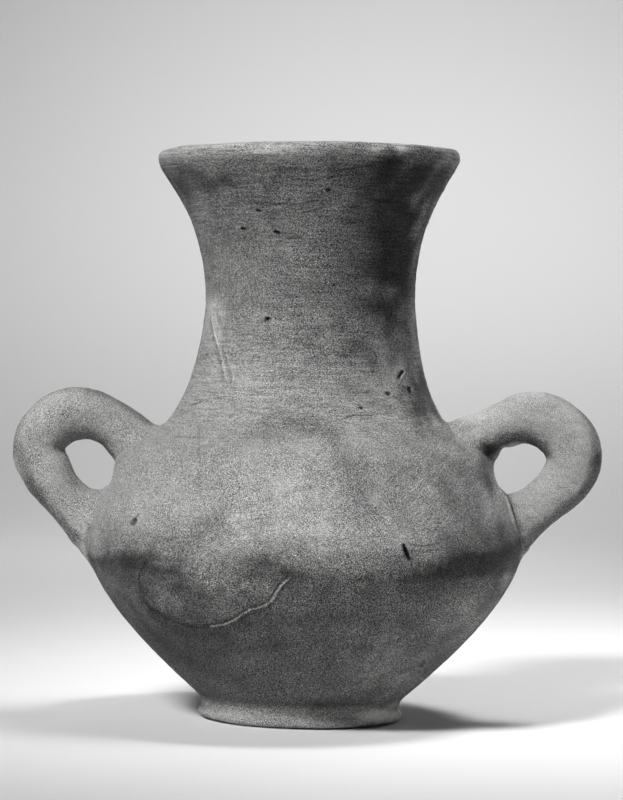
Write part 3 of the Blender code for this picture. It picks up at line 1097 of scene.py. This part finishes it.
def beside_marks(points, normals, reach):
    """True for the vertices on the front that are within a reach, in mm, of a mark."""
    places = photo_places(points)
    wanted = np.zeros(len(points), bool)
    for mark in FRONT_MARKS:
        near = near_box(places, mark.route, MARK_REACH * mark.width + reach)
        gap = route_gap(places[near], mark.route)
        wanted[near[gap < 0.5 * mark.width + reach]] = True
    return wanted & (faces_camera(points, normals) > 0.5)


def refine_marks(mesh):
    """Cut the faces along the marks finer, so that each mark has a shape of its own."""
    shape = bmesh.new()
    shape.from_mesh(mesh)
    for reach in MARK_CUTS:
        shape.verts.ensure_lookup_table()
        points = np.array([v.co for v in shape.verts])
        normals = np.array([v.normal for v in shape.verts])
        wanted = beside_marks(points, normals, reach).tolist()
        edges = [
            edge
            for edge in shape.edges
            if wanted[edge.verts[0].index] and wanted[edge.verts[1].index]
        ]
        bmesh.ops.subdivide_edges(shape, edges=edges, cuts=1, use_grid_fill=True)
        shape.verts.index_update()
    shape.to_mesh(mesh)
    shape.free()


# The worked surface


def hand_lift(verts):
    """The unevenness that hands left on the clay, in mm."""
    points = verts.points
    z = points[:, 2]
    neck = soft_step(*NECK_RISE, z)
    slope = within(SLOPE_BAND, z)
    lift = swing(points, BROAD_WAVE) + swing(points, MIDDLE_WAVE)
    lumps = LUMPS.swing + SLOPE_LUMPS * slope + HANDLE_LUMPS * verts.share
    lift += lumps * ripple(points, LUMPS)
    lift += SLUMPS.swing * slope * ripple(points, SLUMPS)
    lines = np.where(verts.outer, NECK_LINES * neck + WIPED_LINES.swing, INSIDE_LINES)
    lift += lines * ripple(points, WIPED_LINES) * (1.0 - verts.share)
    lift += swing(points, FINE_WAVE)
    return lift + np.where(verts.outer, along(z, OUT_BY_HEIGHT), 0.0)


def work_surface(obj, section):
    """Press the unevenness and the front marks into the skin."""
    mesh = obj.data
    refine_marks(mesh)
    verts = read_verts(mesh, section)
    lift = hand_lift(verts) - HAND_SINK
    lift += verts.front * mark_lift(verts.places)
    points = pressed(verts.points) + MM * lift[:, None] * verts.normals
    points[:, 0] += MM * (1.0 - verts.share) * along(points[:, 2], SWAY_BY_HEIGHT)
    set_points(mesh, points)
    keep_in_box(mesh)
    keep_marks(obj, verts)


def keep_in_box(mesh):
    """Hold every point inside the solid's box, so that the vase stands on the floor."""
    low, high = (np.array(corner) for corner in cad_box)
    set_points(mesh, np.clip(points_of(mesh), low, high))


def keep_marks(obj, verts):
    """A vertex group that is 1 where faces may be collapsed and 0 along the marks."""
    free = np.ones(len(verts.places))
    for mark in FRONT_MARKS:
        near, gap = mark_gap(verts.places, mark)
        kept = (gap < KEPT_EDGE) & (verts.front[near] > 0.5)
        free[near] = np.where(kept, 0.0, free[near])
    group = obj.vertex_groups.new(name="collapse")
    group.add(np.flatnonzero(free > 0.5).tolist(), 1.0, "REPLACE")


def thin_out(obj):
    """Collapse the flattest faces until the piece is within its budget."""
    triangles = sum(len(face.vertices) - 2 for face in obj.data.polygons)
    modifier = obj.modifiers.new("thin", "DECIMATE")
    modifier.ratio = min(1.0, MOST_TRIANGLES / triangles)
    modifier.vertex_group = "collapse"
    modifier.vertex_group_factor = 1.0
    apply_modifiers(obj)
    obj.vertex_groups.clear()


# How pale and how coarse the clay is from place to place


def wash_and_shade_shift(verts):
    """What brings the edge of the wash and of the painted shade below it to its place in the
    photograph, fading out above and below.
    """
    across, row = np.array(WASH_AND_SHADE_EDGE).T
    down = np.interp(verts.places[:, 0], across, row) - WASH_AND_SHADE_ROW
    down = down + swing(verts.points, WASH_AND_SHADE_WAVE)
    return within(WASH_AND_SHADE_BAND, verts.points[:, 2]) * down / PX_PER_MM * MM


def stop_heights(verts):
    """The heights at which the stops of paleness are read, moved by their waves."""
    z = verts.points[:, 2]
    shift = sum(swing(verts.points, wave) for wave in SHIFT_WAVES)
    steady = 1.0 - STEADY_LIP * soft_step(*STEADY_LIP_RISE, z)
    steady = steady * (1.0 - STEADY_FRONT * verts.front)
    height = z + shift * steady * soft_step(*STEADY_FOOT_RISE, z)
    height += verts.front * wash_and_shade_shift(verts)
    return height


def oval_gap(places, oval):
    """How far places are from the middle of an oval, in its half sizes."""
    off = (places - np.array((oval.px, oval.py))) / (oval.across, oval.high)
    return np.linalg.norm(off, axis=1)


def paint_stains_and_light(tone, verts):
    """Make the tone paler or darker in the stains and in the ovals of painted light and shade."""
    ragged = swing(verts.points, STAIN_AND_PAINTED_LIGHT_WAVE)
    for toned_oval in STAINS_AND_PAINTED_LIGHT:
        gap = oval_gap(verts.places, toned_oval) + ragged
        tone *= 1.0 + (toned_oval.tone - 1.0) * verts.front * (1.0 - soft_step(*STAIN_AND_PAINTED_LIGHT_EDGE, gap))


def paint_strokes(tone, verts):
    """Make the tone paler or darker along the strokes."""
    for stroke in STROKES:
        near, gap = mark_gap(verts.places, stroke)
        for wave in STROKE_WAVES:
            gap = gap + swing(verts.points[near], wave)
        edge = PALE_STROKE_EDGE if stroke.tone > 1.0 else DARK_STROKE_EDGE
        paint = verts.front[near] * (1.0 - soft_step(*edge, gap))
        tone[near] *= 1.0 + (stroke.tone - 1.0) * paint


def paint_marks(tone, verts):
    """Make the tone paler or darker in the front marks, whole in the deep ones, whose dark is
    painted shade.
    """
    for mark in FRONT_MARKS:
        near, gap = mark_gap(verts.places, mark)
        edge = DEEP_EDGE
        firm = np.ones(len(near))
        if mark.depth < DEEP_MARK:
            edge = SHALLOW_EDGE
            breaks = ripple(verts.points[near], BREAKS)
            firm = BROKEN_LEAST + BREAKS.swing * soft_step(*BREAK_RISE, breaks)
        paint = firm * verts.front[near] * (1.0 - soft_step(*edge, gap))
        tone[near] *= 1.0 + (mark.tone - 1.0) * paint


def clay_tone(verts):
    """The paleness of the clay: pale where it is washed, with stains, painted shade and painted
    light.
    """
    wall = along(stop_heights(verts), TONE_BY_HEIGHT)
    tone = np.where(verts.outer, wall, INSIDE_TONE)
    handle = np.where(verts.points[:, 0] > 0.0, RIGHT_HANDLE_TONE, LEFT_HANDLE_TONE)
    tone = tone + verts.share * (handle - tone)
    paint_stains_and_light(tone, verts)
    paint_strokes(tone, verts)
    paint_marks(tone, verts)
    return tone


def coarseness(verts, tone):
    """How strongly the sand in the clay shows."""
    grit = along(verts.points[:, 2], GRIT_BY_HEIGHT)
    grit = np.where(verts.outer, grit, INSIDE_GRIT)
    calm = np.where(verts.points[:, 0] > 0.0, RIGHT_HANDLE_CALM, LEFT_HANDLE_CALM)
    grit *= 1.0 - verts.share * calm
    grit *= np.clip(tone / DARK_TONE, LEAST_SHARE, 1.0)
    grit *= 1.0 + swing(verts.points, GRIT_WAVE)
    for mark in FRONT_MARKS:
        near, gap = mark_gap(verts.places, mark)
        calm = 1.0 if mark.depth >= DEEP_MARK else SHALLOW_CALM
        grit[near] *= 1.0 - calm * verts.front[near] * (1.0 - soft_step(*CALM_EDGE, gap))
    return grit


def combed(verts):
    """How strongly upright and slanting lines were combed into the clay."""
    ragged = swing(verts.points, COMB_WAVE)
    shares = np.zeros((2, len(ragged)))
    for comb in COMBS:
        gap = oval_gap(verts.places, comb) + ragged
        here = verts.front * (1.0 - soft_step(*COMB_EDGE, gap))
        shares += here * np.array(((comb.upright,), (comb.slant,)))
    return shares


def set_attribute(mesh, name, values):
    layer = mesh.attributes.new(name, "FLOAT", "POINT")
    layer.data.foreach_set("value", values.astype(np.float32))


def tone_surface(mesh, section):
    """Give the skin the attributes that its material reads."""
    verts = read_verts(mesh, section)
    tone = clay_tone(verts)
    upright, slant = combed(verts)
    wipe = along(verts.points[:, 2], WIPE_BY_HEIGHT) * (1.0 - verts.share)
    wipe *= np.clip(tone / DIM_TONE, LEAST_SHARE, 1.0)
    wipe *= np.clip(1.0 - COMB_OVER_WIPE * upright, LEAST_SHARE, 1.0)
    set_attribute(mesh, "tone", tone)
    set_attribute(mesh, "grit", coarseness(verts, tone))
    set_attribute(mesh, "wipe", wipe)
    set_attribute(mesh, "upright", upright)
    set_attribute(mesh, "slant", slant)


# The clay's material


class Nodes:
    """Short ways to add and link a material's nodes."""

    def __init__(self, tree):
        self.tree = tree

    def add(self, kind, **settings):
        node = self.tree.nodes.new(kind)
        for name, value in settings.items():
            setattr(node, name, value)
        return node

    def feed(self, socket, value):
        if isinstance(value, bpy.types.NodeSocket):
            self.tree.links.new(value, socket)
        else:
            socket.default_value = value

    def math(self, operation, first, second=0.0):
        node = self.add("ShaderNodeMath", operation=operation)
        self.feed(node.inputs[0], first)
        self.feed(node.inputs[1], second)
        return node.outputs[0]

    def plus(self, total, value, factor):
        """The total with a value times a factor added to it."""
        return self.math("ADD", total, self.math("MULTIPLY", value, factor))

    def attribute(self, name):
        return self.add("ShaderNodeAttribute", attribute_name=name).outputs["Fac"]

    def stretched(self, place, scale):
        node = self.add("ShaderNodeMapping")
        self.feed(node.inputs["Vector"], place)
        self.feed(node.inputs["Scale"], scale)
        return node.outputs["Vector"]

    def grain(self, place, grain):
        """A noise about 0, mostly between -1 and 1."""
        if grain.stretch:
            place = self.stretched(place, grain.stretch)
        node = self.add("ShaderNodeTexNoise")
        self.feed(node.inputs["Vector"], place)
        node.inputs["Scale"].default_value = 1.0 / grain.size
        node.inputs["Detail"].default_value = grain.detail
        node.inputs["Roughness"].default_value = grain.roughness
        node.inputs["Distortion"].default_value = grain.twist
        centred = self.math("SUBTRACT", node.outputs["Fac"], 0.5)
        return self.math("MULTIPLY", centred, GRAIN_GAIN)

    def grain_where(self, place, grain, name):
        """A noise that is as strong as the skin's attribute says."""
        return self.math("MULTIPLY", self.grain(place, grain), self.attribute(name))


Grains = namedtuple("Grains", "cloud fleck sand streak comb")


def clay_grains(nodes):
    place = nodes.add("ShaderNodeTexCoord").outputs["Object"]
    turned = nodes.add("ShaderNodeVectorRotate", rotation_type="Y_AXIS")
    nodes.feed(turned.inputs["Vector"], place)
    turned.inputs["Angle"].default_value = COMB_SLANT
    upright = nodes.grain_where(place, UPRIGHT, "upright")
    slanting = nodes.grain_where(turned.outputs["Vector"], SLANTING, "slant")
    return Grains(
        cloud=nodes.grain(place, CLOUD),
        fleck=nodes.grain(place, FLECK),
        sand=nodes.grain_where(place, SAND, "grit"),
        streak=nodes.grain_where(place, STREAK, "wipe"),
        comb=nodes.math("ADD", upright, slanting),
    )


def clay_colour(nodes, grains):
    tone = nodes.attribute("tone")
    shade = nodes.math("MULTIPLY", grains.cloud, CLOUD_SWING)
    shade = nodes.plus(shade, grains.fleck, FLECK_SWING)
    paleness = nodes.math("MULTIPLY", nodes.math("ADD", shade, 1.0), tone)
    paleness = nodes.plus(paleness, grains.sand, SAND_SWING)
    paleness = nodes.plus(paleness, grains.streak, STREAK_SWING)
    paleness = nodes.plus(paleness, grains.comb, nodes.math("MULTIPLY", tone, COMB_SWING))
    paleness = nodes.math("MAXIMUM", paleness, DARKEST)
    colour = nodes.add("ShaderNodeCombineColor")
    for channel, share in zip(("Red", "Green", "Blue"), CLAY_TINT):
        nodes.feed(colour.inputs[channel], nodes.math("MULTIPLY", paleness, share))
    return colour.outputs["Color"]


def clay_bump(nodes, grains):
    height = nodes.math("MULTIPLY", grains.sand, SAND_HEIGHT)
    height = nodes.plus(height, grains.streak, STREAK_HEIGHT)
    height = nodes.plus(height, grains.comb, COMB_HEIGHT)
    height = nodes.plus(height, grains.fleck, FLECK_HEIGHT)
    bump = nodes.add("ShaderNodeBump")
    bump.inputs["Distance"].default_value = MM
    nodes.feed(bump.inputs["Height"], height)
    return bump.outputs["Normal"]


def clay_material():
    material = bpy.data.materials.new("fired_clay")
    material.use_nodes = True
    nodes = Nodes(material.node_tree)
    shader = material.node_tree.nodes["Principled BSDF"]
    grains = clay_grains(nodes)
    rough = nodes.math("MULTIPLY_ADD", grains.fleck, ROUGHNESS_SWING)
    rough.node.inputs[2].default_value = CLAY_ROUGHNESS
    nodes.feed(shader.inputs["Base Color"], clay_colour(nodes, grains))
    nodes.feed(shader.inputs["Normal"], clay_bump(nodes, grains))
    nodes.feed(shader.inputs["Roughness"], rough)
    shader.inputs["Specular IOR Level"].default_value = CLAY_SPECULAR
    return material


def add_vase():
    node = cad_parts["vase"]
    section = read_section(node.data)
    skin = remeshed(node)
    share = snap_to_section(skin.data, section)
    round_handles(skin.data, share)
    work_surface(skin, section)
    thin_out(skin)
    keep_in_box(skin.data)
    tone_surface(skin.data, section)
    skin.data.shade_smooth()
    skin.data.materials.append(clay_material())
    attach(skin, "root")
    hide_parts("vase")


add_camera()
add_light()
add_floor()
add_vase()
